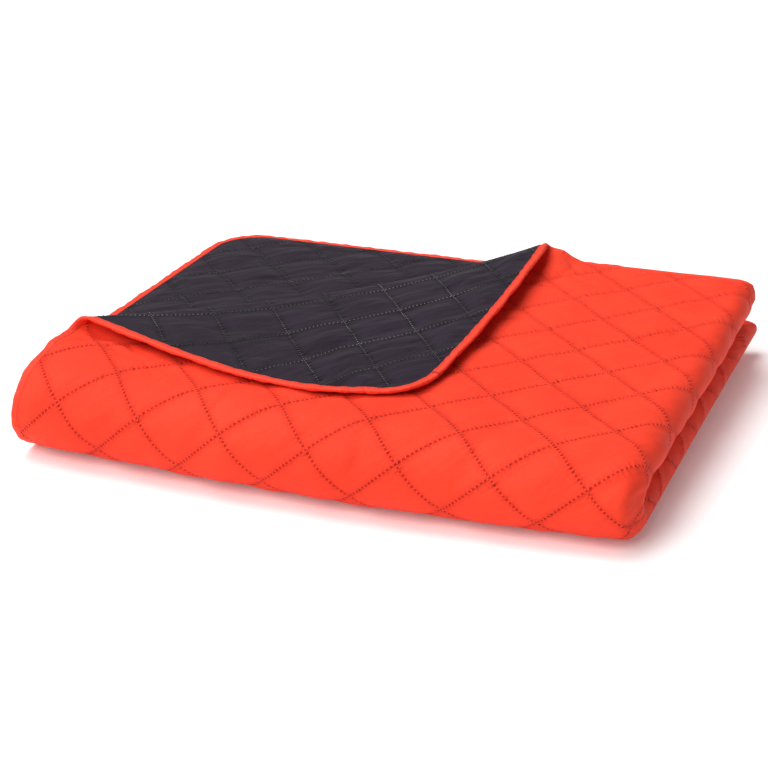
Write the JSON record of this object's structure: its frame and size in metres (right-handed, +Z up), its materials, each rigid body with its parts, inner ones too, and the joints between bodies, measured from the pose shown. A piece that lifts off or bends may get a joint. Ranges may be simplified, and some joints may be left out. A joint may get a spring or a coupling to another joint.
{
  "type": "folded quilted bedspread",
  "caption": "Quilted two-tone bedspread folded into a flat pile, with one bound corner of the top layer turned over to show its dark reverse.",
  "frame": {"origin": "middle of the folded pile's underside, on the surface that it lies on", "axes": "+X along the long front roll, +Y from the front roll to the open back edge, +Z up"},
  "size_m": [0.5914, 0.5416, 0.1098],
  "materials": {
    "face_fabric": "soft vermilion microfibre with a faint satin sheen, quilted in diamonds with dotted stitches",
    "reverse_fabric": "soft charcoal microfibre, plain, with pale dotted stitches",
    "binding_fabric": "narrow vermilion edge binding, topstitched and slightly puckered"
  },
  "bodies": {
    "root": {"face_cloth": "face_fabric", "reverse_cloth": "reverse_fabric", "edge_binding": "binding_fabric"}
  },
  "joints": []
}
